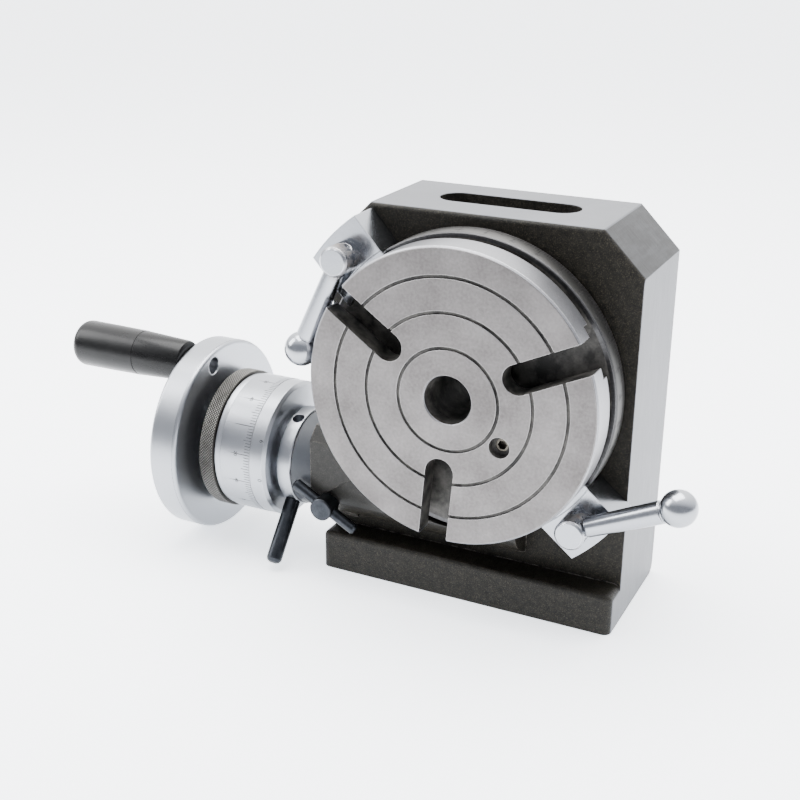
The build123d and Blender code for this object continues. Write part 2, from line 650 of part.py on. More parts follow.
# Lever that turns the sleeve: a pin screwed into its collar, with a rounded end.
pointing = radians(LEVER_ANGLE)
lever_away = Vector(0, cos(pointing), sin(pointing))
lever_base = Vector(lever_x, SLEEVE_Y, SLEEVE_Z)
LEVER_TURNED = Plane(lever_base, x_dir=lever_away, z_dir=Vector(1, 0, 0).cross(lever_away))
with BuildPart() as sleeve_lever:
    with BuildSketch(LEVER_TURNED):
        outline(
            (LEVER_ROOT + NIP, 0),
            (LEVER_ROOT + NIP, LEVER_HOLE_R),
            (COLLAR_R + NIP, LEVER_HOLE_R),
            (COLLAR_R + NIP, LEVER_R),
            (LEVER_END - 1.6, LEVER_R),
            (LEVER_END - 0.5, LEVER_R - 0.7),
            (LEVER_END, LEVER_R - 1.7),
            (LEVER_END, 0),
        )
    revolve(axis=Axis(lever_base, lever_away))
save(sleeve_lever, "sleeve_lever")

# Hub on the worm shaft that carries the dial and its lock ring.
with BuildPart() as dial_hub:
    with BuildSketch(WORM_TURNED):
        outline(
            (HUB_X, HUB_SHAFT_R + NIP / 2),
            (HUB_X, HUB_FLANGE_R),
            (HUB_X - HUB_FLANGE_T, HUB_FLANGE_R),
            (HUB_X - HUB_FLANGE_T, DIAL_SEAT_R),
            (HUB_FRONT_X, DIAL_SEAT_R),
            (HUB_FRONT_X, HUB_SHAFT_R + NIP / 2),
        )
    revolve(axis=WORM_AXIS)
save(dial_hub, "dial_hub")

# Dial: a plain band that turns on the hub, graduated round its edge.
dial_x = HUB_X - NIP
with BuildPart() as dial_ring:
    with BuildSketch(WORM_TURNED):
        outline(
            (dial_x, HUB_FLANGE_R + 2 * NIP),
            (dial_x, DIAL_R),
            (RING_X, DIAL_R),
            (RING_X, DIAL_SEAT_R + RUN),
            (dial_x - HUB_FLANGE_T, DIAL_SEAT_R + RUN),
            (dial_x - HUB_FLANGE_T, HUB_FLANGE_R + 2 * NIP),
        )
    revolve(axis=WORM_AXIS)
save(dial_ring, "dial_ring")

# Knurled ring that locks the dial to the hub.
band_x = RING_X - 0.3 * LOCK_RING_T
ring_end_x = RING_X - LOCK_RING_T
with BuildPart() as lock_ring:
    with BuildSketch(WORM_TURNED):
        outline(
            (RING_X - NIP, DIAL_SEAT_R + RUN),
            (RING_X - NIP, DIAL_R - 1.0),
            (RING_X - NIP - 0.5, DIAL_R - 0.5),
            (band_x, DIAL_R - 0.5),
            (band_x, KNURL_R - EDGE / 2),
            (band_x - EDGE / 2, KNURL_R),
            (ring_end_x + EDGE, KNURL_R),
            (ring_end_x, KNURL_R - EDGE),
            (ring_end_x, DIAL_SEAT_R + RUN),
        )
    revolve(axis=WORM_AXIS)
save(lock_ring, "lock_ring")

# Handwheel: a solid disc, flat towards the table and dished on its outer side.
rim_x = WHEEL_X - WHEEL_T
with BuildPart() as handwheel:
    with BuildSketch(WORM_TURNED):
        outline(
            (HUB_FRONT_X - NIP, HUB_SHAFT_R + NIP / 2),
            (HUB_FRONT_X - NIP, HUB_BOSS_R),
            (WHEEL_X, HUB_BOSS_R),
            (WHEEL_X, WHEEL_R),
            (rim_x, WHEEL_R),
            (rim_x, DISH_R),
            (rim_x + DISH_D, DISH_R - 1.5),
            (rim_x + DISH_D, HUB_BOSS_R + 1.5),
            (WHEEL_NUT_X, HUB_BOSS_R),
            (WHEEL_NUT_X, HUB_SHAFT_R + NIP / 2),
        )
    revolve(axis=WORM_AXIS)
    rim_edges = handwheel.edges().filter_by(GeomType.CIRCLE).filter_by(
        lambda e: abs(e.radius - WHEEL_R) < 0.01
    )
    fillet(rim_edges, 1.5)
    with BuildSketch(across(rim_x - 2, CRANK_Y, CRANK_Z)):
        Circle(PIN_R)
    extrude(amount=WHEEL_T + 4, mode=Mode.SUBTRACT)
    with BuildSketch(across(WHEEL_NUT_X - 1, WORM_Y, WORM_Z + HUB_SHAFT_R)):
        Rectangle(KEY_W + NIP, KEY_W + NIP)
    extrude(amount=HUB_FRONT_X - WHEEL_NUT_X + 2, mode=Mode.SUBTRACT)
save(handwheel, "handwheel")

# Key, washer and nut that hold the handwheel on the shaft.
with BuildPart() as handwheel_key:
    with BuildSketch(across(WHEEL_X - WHEEL_T + 1.6, WORM_Y, WORM_Z + HUB_SHAFT_R)):
        Rectangle(KEY_W, KEY_W)
    extrude(amount=WHEEL_T - 1.7)
save(handwheel_key, "handwheel_key")
washer_x = WHEEL_NUT_X - 1.5
with BuildPart() as handwheel_washer:
    with BuildSketch(across(washer_x, WORM_Y, WORM_Z)):
        Circle(NUT_AF / 2 + 1)
        Circle(SHAFT_THREAD_R + SLIP, mode=Mode.SUBTRACT)
    extrude(amount=1.5)
save(handwheel_washer, "handwheel_washer")
with BuildPart() as handwheel_nut:
    with BuildSketch(across(washer_x - WHEEL_NUT_T, WORM_Y, WORM_Z)):
        RegularPolygon(NUT_AF / 2, 6, major_radius=False)
    extrude(amount=WHEEL_NUT_T)
    with BuildSketch(WORM_TURNED):
        outline(
            (washer_x, 0),
            (washer_x, NUT_AF / 2 + 1.5),
            (washer_x - WHEEL_NUT_T + 1, NUT_AF / 2 + 1.5),
            (washer_x - WHEEL_NUT_T, NUT_AF / 2),
            (washer_x - WHEEL_NUT_T, 0),
        )
    revolve(axis=WORM_AXIS, mode=Mode.INTERSECT)
    with BuildSketch(across(washer_x - WHEEL_NUT_T, WORM_Y, WORM_Z)):
        Circle(SHAFT_THREAD_R + NIP)
    extrude(amount=WHEEL_NUT_T, mode=Mode.SUBTRACT)
save(handwheel_nut, "handwheel_nut")

# Crank pin: screwed into the handwheel, with a slotted head sunk in the grip's end.
grip_end_x = GRIP_X - GRIP_L
head_x = grip_end_x + GRIP_SINK_D - 2 * NIP
with BuildPart() as crank_pin:
    with BuildSketch(CRANK_TURNED):
        outline(
            (PIN_END_X, 0),
            (PIN_END_X, PIN_R - NIP - EDGE / 2),
            (PIN_END_X - EDGE / 2, PIN_R - NIP),
            (rim_x - NIP, PIN_R - NIP),
            (rim_x - NIP, SHOULDER_R),
            (head_x, SHOULDER_R),
            (head_x, PIN_HEAD_R),
            (head_x - PIN_HEAD_T + EDGE / 2, PIN_HEAD_R),
            (head_x - PIN_HEAD_T, PIN_HEAD_R - EDGE / 2),
            (head_x - PIN_HEAD_T, 0),
        )
    revolve(axis=CRANK_AXIS)
    with BuildSketch(across(head_x - PIN_HEAD_T, CRANK_Y, CRANK_Z)):
        Rectangle(1.6, 3 * PIN_HEAD_R)
    extrude(amount=1.6, mode=Mode.SUBTRACT)
save(crank_pin, "crank_pin")

# Grip: a cone up to a joint line, then a swelling barrel with a rounded end.
shoulder_x = GRIP_X - GRIP_SHOULDER
with BuildPart() as grip:
    with BuildSketch(CRANK_TURNED):
        with BuildLine():
            Polyline(
                (GRIP_X, SHOULDER_R + RUN),
                (GRIP_X, GRIP_R1 - EDGE),
                (GRIP_X - EDGE, GRIP_R1),
                (shoulder_x, GRIP_JOINT_R),
                (grip_end_x + GRIP_END_R, GRIP_R2),
            )
            Spline(
                (grip_end_x + GRIP_END_R, GRIP_R2),
                (grip_end_x, GRIP_SINK_R + 0.4),
                tangents=((-1, 0), (-0.15, -1)),
            )
            Polyline(
                (grip_end_x, GRIP_SINK_R + 0.4),
                (grip_end_x, GRIP_SINK_R),
                (grip_end_x + GRIP_SINK_D, GRIP_SINK_R),
                (grip_end_x + GRIP_SINK_D, SHOULDER_R + RUN),
                (GRIP_X, SHOULDER_R + RUN),
            )
        make_face()
    revolve(axis=CRANK_AXIS)
save(grip, "grip")

# Lock bolt of the sleeve, its sliding bar and the brass pad that it presses.
with BuildPart() as lock_bolt:
    with BuildSketch(front(PAD_TOP - NIP)):
        with Locations((LOCK_X, LOCK_Z)):
            Circle(LOCK_THREAD_R)
    extrude(amount=PAD_TOP - NIP - LOCK_END)
    with BuildSketch(front(PAD_FRONT - NIP)):
        with Locations((LOCK_X, LOCK_Z)):
            Circle(LOCK_R)
    extrude(amount=PAD_FRONT - NIP - LOCK_END)
    chamfer(lock_bolt.faces().sort_by(Axis.Y)[0].edges(), EDGE / 2)
    with BuildSketch(
        Plane(
            (LOCK_X, FACE_Y + LOCK_BAR_DEPTH, CENTRE_H + LOCK_Z),
            x_dir=(0, 1, 0),
            z_dir=(cos(radians(LOCK_BAR_ANGLE)), 0, sin(radians(LOCK_BAR_ANGLE))),
        )
    ):
        Circle(LOCK_BAR_R + NIP)
    extrude(amount=2 * LOCK_R, both=True, mode=Mode.SUBTRACT)
save(lock_bolt, "lock_bolt")
bar_away = Vector(cos(radians(LOCK_BAR_ANGLE)), 0, sin(radians(LOCK_BAR_ANGLE)))
bar_middle = Vector(LOCK_X, FACE_Y + LOCK_BAR_DEPTH, CENTRE_H + LOCK_Z)
with BuildPart() as lock_bar:
    with BuildSketch(Plane(bar_middle, x_dir=bar_away, z_dir=(0, -1, 0))):
        outline(
            (-LOCK_BAR_L / 2, 0),
            (-LOCK_BAR_L / 2, LOCK_BAR_R - EDGE),
            (EDGE - LOCK_BAR_L / 2, LOCK_BAR_R),
            (LOCK_BAR_L / 2 - EDGE, LOCK_BAR_R),
            (LOCK_BAR_L / 2, LOCK_BAR_R - EDGE),
            (LOCK_BAR_L / 2, 0),
        )
    revolve(axis=Axis(bar_middle, bar_away))
save(lock_bar, "lock_bar")
with BuildPart() as lock_pad:
    with BuildSketch(front(WHEEL_DEPTH - THROW_Y)):
        with Locations((LOCK_X, LOCK_Z)):
            Circle(PAD_R)
    extrude(amount=WHEEL_DEPTH - THROW_Y - PAD_TOP)
    with BuildSketch(across(LOCK_X - LOCK_GROOVE_W, SLEEVE_Y, SLEEVE_Z)):
        Circle(LOCK_GROOVE_R + 0.02)
    extrude(amount=2 * LOCK_GROOVE_W, mode=Mode.SUBTRACT)
save(lock_pad, "lock_pad")


def clamp_strip(bolt_angle, block_angle, inner_r, outer_r):
    """Part of a ring about the table that lies in a clamp's strip, in the sketch being drawn."""
    Circle(outer_r)
    Circle(inner_r, mode=Mode.SUBTRACT)
    with Locations(around(CLAMP_AT, bolt_angle)):
        Rectangle(2 * CLAMP_W, CLAMP_W, rotation=block_angle, mode=Mode.INTERSECT)


# Table clamps: a block with a toe in the groove, a bolt, and a lever with a ball end.
toe_back = PAD_FRONT + TOE_GAP + TOE_T
block_in_r = FLANGE_R + 0.5
neck_to_ball = sqrt(BALL_R**2 - LEVER_NECK_R**2)
for side, (bolt_angle, block_angle, lever_angle) in CLAMPS.items():
    bolt_x, bolt_z = around(CLAMP_AT, bolt_angle)
    with BuildPart() as clamp_block:
        with BuildSketch(front(PAD_FRONT + CLAMP_T)):
            clamp_strip(bolt_angle, block_angle, block_in_r, CLAMP_OUT_R)
        extrude(amount=CLAMP_T)
        with BuildSketch(front(toe_back)):
            clamp_strip(bolt_angle, block_angle, block_in_r - TOE_REACH, block_in_r + 1)
        extrude(amount=TOE_T)
        with BuildSketch(front(PAD_FRONT + CLAMP_T)):
            with Locations((bolt_x, bolt_z)):
                Circle(CLAMP_BOLT_R + SLIP)
        extrude(amount=CLAMP_T, mode=Mode.SUBTRACT)
    save(clamp_block, f"{side}_clamp_block")

    lever_dir = Vector(cos(radians(lever_angle)), 0, sin(radians(lever_angle)))
    lever_root = Vector(bolt_x, FACE_Y + LEVER_DEPTH, CENTRE_H + bolt_z)
    with BuildPart() as clamp_bolt:
        with BuildSketch(front(BODY_FRONT + CLAMP_HOLE_D - 2)):
            with Locations((bolt_x, bolt_z)):
                Circle(CLAMP_BOLT_R)
        extrude(amount=BODY_FRONT + CLAMP_HOLE_D - 2 - CLAMP_HEAD_L)
        with BuildSketch(front(CLAMP_HEAD_L + 1 - NIP)):
            with Locations((bolt_x, bolt_z)):
                Circle(CLAMP_HEAD_R)
        extrude(amount=CLAMP_HEAD_L)
        chamfer(clamp_bolt.faces().sort_by(Axis.Y)[0].edges(), EDGE)
        with BuildSketch(Plane(lever_root, x_dir=(0, 1, 0), z_dir=lever_dir)):
            Circle(LEVER_PIN_R + NIP)
        extrude(amount=2 * CLAMP_HEAD_R, both=True, mode=Mode.SUBTRACT)
    save(clamp_bolt, f"{side}_clamp_bolt")

    with BuildPart() as clamp_lever:
        with BuildSketch(Plane(lever_root, x_dir=lever_dir, z_dir=(0, -1, 0))):
            with BuildLine():
                Polyline(
                    (LEVER_LEN + BALL_R, 0),
                    (0.5 - CLAMP_HEAD_R, 0),
                    (0.5 - CLAMP_HEAD_R, LEVER_PIN_R),
                    (CLAMP_HEAD_R + NIP, LEVER_PIN_R),
                    (CLAMP_HEAD_R + NIP, LEVER_ROD_R1),
                    (LEVER_LEN - neck_to_ball - LEVER_NECK_L, LEVER_ROD_R2),
                    (LEVER_LEN - neck_to_ball - LEVER_NECK_L, LEVER_NECK_R),
                    (LEVER_LEN - neck_to_ball, LEVER_NECK_R),
                )
                ThreePointArc(
                    (LEVER_LEN - neck_to_ball, LEVER_NECK_R), (LEVER_LEN, BALL_R), (LEVER_LEN + BALL_R, 0)
                )
            make_face()
        revolve(axis=Axis(lever_root, lever_dir))
    save(clamp_lever, f"{side}_clamp_lever")
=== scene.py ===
import math

import bmesh
import bpy
import numpy as np
from mathutils import Matrix, Vector


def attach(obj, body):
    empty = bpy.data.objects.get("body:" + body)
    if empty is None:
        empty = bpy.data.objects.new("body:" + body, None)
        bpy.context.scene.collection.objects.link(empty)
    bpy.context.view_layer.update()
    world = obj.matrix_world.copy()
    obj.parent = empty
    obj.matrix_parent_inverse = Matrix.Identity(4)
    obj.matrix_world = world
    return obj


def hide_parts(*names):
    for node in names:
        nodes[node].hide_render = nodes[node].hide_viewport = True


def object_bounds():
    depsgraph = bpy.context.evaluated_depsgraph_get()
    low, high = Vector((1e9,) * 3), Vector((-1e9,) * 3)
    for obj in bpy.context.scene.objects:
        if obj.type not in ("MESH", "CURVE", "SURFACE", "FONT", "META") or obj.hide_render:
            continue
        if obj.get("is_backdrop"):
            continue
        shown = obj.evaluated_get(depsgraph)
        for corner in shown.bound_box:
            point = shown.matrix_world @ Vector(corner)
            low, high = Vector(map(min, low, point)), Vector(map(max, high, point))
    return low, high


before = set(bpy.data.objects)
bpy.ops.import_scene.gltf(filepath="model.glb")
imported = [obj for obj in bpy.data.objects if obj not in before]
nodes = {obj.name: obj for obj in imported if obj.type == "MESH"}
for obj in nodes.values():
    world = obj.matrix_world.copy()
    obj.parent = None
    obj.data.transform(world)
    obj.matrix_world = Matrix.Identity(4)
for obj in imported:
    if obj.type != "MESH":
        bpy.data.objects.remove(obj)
cad_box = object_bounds()


# Body casting
# One grey-iron casting. Its front, hollow and foot are as they left the sand, under a
# brown-black paint. Its top, sides, cut corners, back and underside are machined bare.

class Flow:
    """A socket of a material's nodes. Arithmetic on it adds Math nodes."""

    def __init__(self, finish, socket):
        self.finish = finish
        self.socket = socket

    def _math(self, operation, *terms):
        return self.finish.node("ShaderNodeMath", {"operation": operation}, dict(enumerate(terms)))

    def __add__(self, other):
        return self._math("ADD", self, other)

    def __radd__(self, other):
        return self._math("ADD", other, self)

    def __sub__(self, other):
        return self._math("SUBTRACT", self, other)

    def __rsub__(self, other):
        return self._math("SUBTRACT", other, self)

    def __mul__(self, other):
        return self._math("MULTIPLY", self, other)

    def __rmul__(self, other):
        return self._math("MULTIPLY", other, self)

    def __truediv__(self, other):
        return self._math("DIVIDE", self, other)

    def __pow__(self, other):
        return self._math("POWER", self, other)

    def __gt__(self, other):
        return self._math("GREATER_THAN", self, other)

    def __lt__(self, other):
        return self._math("LESS_THAN", self, other)

    def abs(self):
        return self._math("ABSOLUTE", self)

    def root(self):
        return self._math("SQRT", self)

    def angle_to(self, other):
        """The angle of the point (other, self), in radians."""
        return self._math("ARCTAN2", self, other)

    def most(self, other):
        return self._math("MAXIMUM", self, other)

    def step(self, low, high):
        """0 below low, 1 above high, and smooth between."""
        return self.finish.node(
            "ShaderNodeMapRange",
            {"interpolation_type": "SMOOTHSTEP"},
            {"Value": self, "From Min": low, "From Max": high},
        )


class Finish:
    """A material in the making: one Principled shader, and the nodes that feed it."""

    def __init__(self, name):
        self.material = bpy.data.materials.new(name)
        self.material.use_nodes = True
        self.tree = self.material.node_tree
        self.shader = self.tree.nodes["Principled BSDF"]
        self.place = self.node("ShaderNodeTexCoord", output="Object")
        parts = self.node("ShaderNodeSeparateXYZ", inputs={0: self.place}, output=None)
        self.x, self.y, self.z = (Flow(self, parts.outputs[i]) for i in range(3))

    def node(self, kind, settings=None, inputs=None, output=0):
        """Adds a node: its settings first, then the values or links of its sockets."""
        made = self.tree.nodes.new(kind)
        for name, value in (settings or {}).items():
            if name == "stops":
                ramp = made.color_ramp
                while len(ramp.elements) > 1:
                    ramp.elements.remove(ramp.elements[-1])
                for k, (position, colour) in enumerate(value):
                    stop = ramp.elements[0] if k == 0 else ramp.elements.new(position)
                    stop.position = position
                    stop.color = (*colour, 1.0)
            else:
                setattr(made, name, value)
        for name, value in (inputs or {}).items():
            if isinstance(value, Flow):
                self.tree.links.new(value.socket, made.inputs[name])
            else:
                made.inputs[name].default_value = value
        return made if output is None else Flow(self, made.outputs[output])

    def noise(self, scale, detail=2.0, rough=0.5, place=None):
        """Noise with that many lumps to the metre, from 0 to 1."""
        return self.node(
            "ShaderNodeTexNoise",
            {"noise_dimensions": "3D"},
            {"Vector": place or self.place, "Scale": scale, "Detail": detail, "Roughness": rough},
        )

    def stretched(self, x, y, z):
        """The place, scaled along each axis, for a grain that runs one way."""
        return self.node(
            "ShaderNodeVectorMath", {"operation": "MULTIPLY"}, {0: self.place, 1: (x, y, z)}
        )

    def together(self, first, second=0.0, third=0.0):
        """Three numbers as one vector, for a pattern in other coordinates."""
        return self.node("ShaderNodeCombineXYZ", inputs={0: first, 1: second, 2: third})

    def blend(self, mask, first, second):
        """first where the mask is 0 and second where it is 1, as colours."""
        mixed = self.node("ShaderNodeMix", {"data_type": "RGBA"}, {"Factor": mask}, output=None)
        for socket, value in ((mixed.inputs[6], first), (mixed.inputs[7], second)):
            if isinstance(value, Flow):
                self.tree.links.new(value.socket, socket)
            else:
                socket.default_value = (*value, 1.0)
        return Flow(self, mixed.outputs[2])

    def shades(self, value, *stops):
        """Colours along a value: (position, colour) stops."""
        return self.node("ShaderNodeValToRGB", {"stops": stops}, {"Fac": value})

    def worn(self, radius):
        """1 along edges, where a rounded normal leaves the flat one, and 0 on open faces."""
        self.rounded = self.node("ShaderNodeBevel", {"samples": 4}, {"Radius": radius})
        flat = self.node("ShaderNodeNewGeometry", output="Normal")
        cosine = self.node(
            "ShaderNodeVectorMath",
            {"operation": "DOT_PRODUCT"},
            {0: self.rounded, 1: flat},
            output="Value",
        )
        return (1.0 - cosine).step(0.02, 0.16)

    def feed(self, **links):
        """Links or sets the shader's sockets, whose names are given with _ for a space."""
        for name, value in links.items():
            socket = self.shader.inputs[name.replace("_", " ")]
            if isinstance(value, Flow):
                self.tree.links.new(value.socket, socket)
            elif isinstance(value, tuple):
                socket.default_value = (*value, 1.0)
            else:
                socket.default_value = value
        return self

    def bump(self, height, distance):
        """Raises the surface by the height, which runs from 0 to 1, times the distance."""
        inputs = {"Height": height, "Distance": distance, "Strength": 1.0}
        if hasattr(self, "rounded"):
            inputs["Normal"] = self.rounded
        bumped = self.node("ShaderNodeBump", inputs=inputs)
        self.tree.links.new(bumped.socket, self.shader.inputs["Normal"])
        return self


def wear(material, *names):
    """Puts a finish on CAD nodes as they stand."""
    for name in names:
        slots = nodes[name].material_slots
        for slot in slots:
            slot.material = material
        if not slots:
            nodes[name].data.materials.append(material)


face_y = -0.04345
axis_z = 0.087
worm_y, worm_z = -0.01045, 0.0404
body_top = axis_z + 0.0601
body_half = 0.0595
back_y = face_y + 0.0714
foot_y = face_y + 0.0155
corner_cut = 0.0155
housing_top = 0.09
nose_x = -0.0628
touch = 0.00012

paint = Finish("casting_paint")
edges = paint.worn(0.0007)
grain = paint.noise(2600.0, 3.0, 0.6)
lumps = paint.noise(420.0, 3.0, 0.55)
drift = paint.noise(60.0, 2.0, 0.5)
specks = paint.noise(3600.0, 1.0, 0.5).step(0.57, 0.70)
flank = paint.x.abs() > body_half - touch
top = paint.z > body_top - touch
slant = paint.x.abs() + paint.z > body_top + body_half - corner_cut
machined = flank.most(top).most(slant).most(paint.y > back_y - touch).most(paint.z < touch)
housing = (paint.x < touch - body_half) * (1.0 - (paint.z > housing_top))
machined = machined * (1.0 - housing)
nose = paint.x < nose_x
smooth = housing.most(paint.y < foot_y - touch)
sand = paint.shades(
    lumps * 0.55 + grain * 0.45, (0.32, (0.0012, 0.0012, 0.0009)), (0.68, (0.0135, 0.0120, 0.0088))
)
sand = paint.blend(specks * 0.5, sand, (0.070, 0.060, 0.042))
satin = paint.shades(
    lumps * 0.5 + drift * 0.5, (0.3, (0.013, 0.0125, 0.0115)), (0.7, (0.026, 0.025, 0.023))
)
satin = paint.blend(specks * 0.4, satin, (0.085, 0.080, 0.068))
barrel = paint.shades(drift, (0.3, (0.036, 0.039, 0.045)), (0.7, (0.055, 0.059, 0.066)))
painted_colour = paint.blend(nose, paint.blend(smooth, sand, satin), barrel)
streaks = paint.noise(90.0, 4.0, 0.6, paint.stretched(1.0, 12.0, 1.0))
stains = paint.noise(38.0, 3.0, 0.6)
pits = paint.noise(1500.0, 2.0, 0.6).step(0.70, 0.74)
# The machined cut corners are painted near black in streaks: painted shade for how those faces take
# the light.
corner = slant * (1.0 - (paint.z > body_top - 3 * touch))
bare_colour = paint.shades(
    streaks * 0.55 + stains * 0.45, (0.32, (0.070, 0.074, 0.083)), (0.68, (0.165, 0.170, 0.184))
)
corner_shade_streaks = paint.noise(70.0, 5.0, 0.65, paint.stretched(1.0, 1.0, 6.0)).step(0.35, 0.62)
bare_colour = paint.blend(corner * (0.80 + corner_shade_streaks * 0.15), bare_colour, (0.016, 0.0155, 0.015))
# The machined sides are painted half-way to a darker, bluer grey than the top: painted shade.
bare_colour = paint.blend(flank * 0.5, bare_colour, (0.022, 0.023, 0.026))
bare_colour = paint.blend(pits * 0.6, bare_colour, (0.04, 0.033, 0.025))
rub = edges * paint.noise(300.0, 3.0, 0.6).step(0.38, 0.62)
painted_colour = paint.blend(rub * 0.8, painted_colour, (0.20, 0.185, 0.165))
bright = machined.most(rub * 0.5)
paint.feed(
    Base_Color=paint.blend(machined, painted_colour, bare_colour),
    Metallic=bright,
    Roughness=machined * (streaks * 0.22 + stains * 0.12 + 0.22)
    + (1.0 - machined) * (0.40 - smooth * 0.04 - nose * 0.10 + grain * 0.16),
    Specular_IOR_Level=0.16,
)
paint.bump(
    (1.0 - machined) * (1.0 - smooth * 0.72) * (grain * 0.55 + lumps * 0.9 + drift * 0.8)
    + machined * streaks * 0.05 - pits * machined * 0.2,
    0.00035,
)
wear(paint.material, "body_casting")


# Ground table
# The round table is cast iron, turned and then ground on its face. Its rings and slots
# are left as cut; they, the bore and the groove are coloured near black, partly their own
# oxide and partly painted shade in the hollows. The flange behind it carries a degree scale.

table = Finish("ground_table")
edges = table.worn(0.0004)
across = table.x
upward = table.z - axis_z
out_r = (across * across + upward * upward).root()
depth = table.y - face_y
rim_r = 0.0544
rings_from, rings_to = 0.018, 0.0463
bore_r = 0.0093
groove_front, flange_front = 0.0119, 0.0157
groove_root = 0.048
below_face = 0.0004
ring_depth = 0.0009
face = depth < below_face / 2
rim = out_r > rim_r
ring_floor = (depth > below_face) * (depth < ring_depth) * (out_r > rings_from) * (out_r < rings_to)
slot_wall = (depth > below_face) * (depth < flange_front) * (out_r < rim_r) * (out_r > rings_from)
bore = (out_r < bore_r) * (depth > 1.5 * below_face)
groove = (depth > groove_front) * (depth < flange_front) * (out_r < rim_r)
dark = ring_floor.most(slot_wall).most(bore).most(groove)
behind = (depth > flange_front - below_face) * (out_r > groove_root)
mottle = table.noise(55.0, 4.0, 0.6)
fine = table.noise(900.0, 2.0, 0.5)
turning = table.noise(1.0, 2.0, 0.6, table.together(out_r * 2600.0, mottle * 3.0))
rim_grain = table.noise(1.0, 3.0, 0.6, table.together(depth * 9000.0, across.angle_to(upward) * 60.0))
ground = table.shades(
    mottle * 0.7 + fine * 0.3, (0.30, (0.092, 0.085, 0.083)), (0.70, (0.190, 0.180, 0.177))
)
turned = table.shades(rim_grain, (0.3, (0.20, 0.20, 0.212)), (0.7, (0.36, 0.36, 0.375)))
# Near black for the rings, slot walls, bore and groove: their oxide, with painted shade in the
# hollows.
oxide_and_shade = table.shades(
    table.noise(130.0, 4.0, 0.65), (0.40, (0.006, 0.005, 0.004)), (0.68, (0.085, 0.080, 0.072))
)
iron = table.blend(face, turned, ground)
iron = table.blend(behind * 0.85, iron, (0.030, 0.029, 0.028))
iron = table.blend(dark, iron, oxide_and_shade)
table.feed(
    Base_Color=table.blend(edges * (1.0 - dark) * (0.6 - behind * 0.35), iron, (0.60, 0.59, 0.58)),
    Metallic=1.0 - dark * 0.75,
    Roughness=0.36 + mottle * 0.10 + turning * 0.06 + dark * 0.12 - rim * 0.06,
)
table.bump((1.0 - dark) * (turning * 0.14 * face + rim_grain * 0.2 * rim) + dark * fine * 0.8, 0.00006)
wear(table.material, "table_plate")


def solid(name, points, material, body, ends_meet=True, keen=35.0):
    """A closed body through a grid of points: the rows close round on themselves, and the
    columns too unless their first and last points lie on an axis. Its normals are turned
    outwards and its edges stay keen where faces meet at more than that many degrees."""
    rows, columns = points.shape[:2]
    index = np.arange(rows * columns).reshape(rows, columns)
    right = np.roll(index, -1, 1)
    quads = np.stack([index, np.roll(index, -1, 0), np.roll(right, -1, 0), right], -1)
    if not ends_meet:
        quads = quads[:, :-1]
    return skin(name, points.reshape(-1, 3), quads.reshape(-1, 4), material, body, keen)


def skin(name, points, faces, material, body, keen=35.0):
    """A mesh from its points and faces, merged, turned outwards, finished and riding."""
    mesh = bpy.data.meshes.new(name)
    mesh.from_pydata(points.tolist(), [], faces.tolist())
    merged = bmesh.new()
    merged.from_mesh(mesh)
    bmesh.ops.remove_doubles(merged, verts=merged.verts, dist=2e-7)
    bmesh.ops.dissolve_degenerate(merged, edges=merged.edges, dist=1e-7)
    bmesh.ops.recalc_face_normals(merged, faces=merged.faces)
    merged.to_mesh(mesh)
    merged.free()
    mesh.shade_smooth()
    mesh.set_sharp_from_angle(angle=math.radians(keen))
    mesh.materials.append(material)
    piece = bpy.data.objects.new(name, mesh)
    bpy.context.scene.collection.objects.link(piece)
    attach(piece, body)
    return piece


def scale_band(name, radius, stations, closing, marks, spread, cut, material, body, place):
    """A thin graduated sleeve. Round the axis the columns stand in fives at each mark,
    and along it the rows at the stations. The outer skin lies at the radius, and drops by
    the cut where a column is in a mark and the row is within that mark's length."""
    count = len(marks)
    step = 2 * np.pi / count
    offsets = np.array([-0.5, -spread * 1.35, -spread, spread, spread * 1.35])
    angles = ((np.arange(count)[:, None] + offsets[None, :]) * step).reshape(-1)
    in_mark = np.tile([0, 0, 1, 1, 0], count)
    length = np.repeat(marks, len(offsets))
    reach = np.abs(np.array(stations) - stations[-1])
    sunk = in_mark[:, None] * (reach[None, :] <= length[:, None] + 1e-9)
    outer = radius - cut * sunk
    outer[:, 0] = radius - 0.00008
    inner = np.full((len(angles), 2), closing)
    radii = np.hstack([outer, inner])
    along = np.array(list(stations) + [stations[-1], stations[0]])
    points = place(along[None, :] + 0 * radii, radii, angles[:, None] + 0 * radii)
    return solid(name, points, material, body, keen=25.0)


def about_table(along, radius, angle):
    """Depth behind the face, radius and angle from +X towards +Z, to a place."""
    return np.stack([radius * np.cos(angle), face_y + along, axis_z + radius * np.sin(angle)], -1)


def about_worm(along, radius, angle):
    """X, radius and angle from +Y towards +Z, to a place."""
    return np.stack([along, worm_y + radius * np.cos(angle), worm_z + radius * np.sin(angle)], -1)


def figures(name, texts, size, place_letter, material, body):
    """Plain numbers laid on a turned surface: each letter's flat outline, as thick as an
    engraver's fill, is bent round by taking its width as an angle."""
    points, faces, total = [], [], 0
    for text, where in texts:
        curve = bpy.data.curves.new(name, "FONT")
        curve.body = text
        curve.size = size
        curve.align_x = "CENTER"
        curve.align_y = "CENTER"
        curve.extrude = 0.00003
        curve.resolution_u = 3
        letter = bpy.data.objects.new(name, curve)
        flat = bpy.data.meshes.new_from_object(letter)
        spots = np.empty(3 * len(flat.vertices))
        flat.vertices.foreach_get("co", spots)
        spots = spots.reshape(-1, 3)
        points.append(place_letter(spots, where))
        flat.calc_loop_triangles()
        corners = np.empty(3 * len(flat.loop_triangles), dtype=np.int32)
        flat.loop_triangles.foreach_get("vertices", corners)
        faces.append(corners.reshape(-1, 3) + total)
        total += len(spots)
        bpy.data.objects.remove(letter)
        bpy.data.meshes.remove(flat)
    return skin(name, np.vstack(points), np.vstack(faces), material, body, keen=40.0)


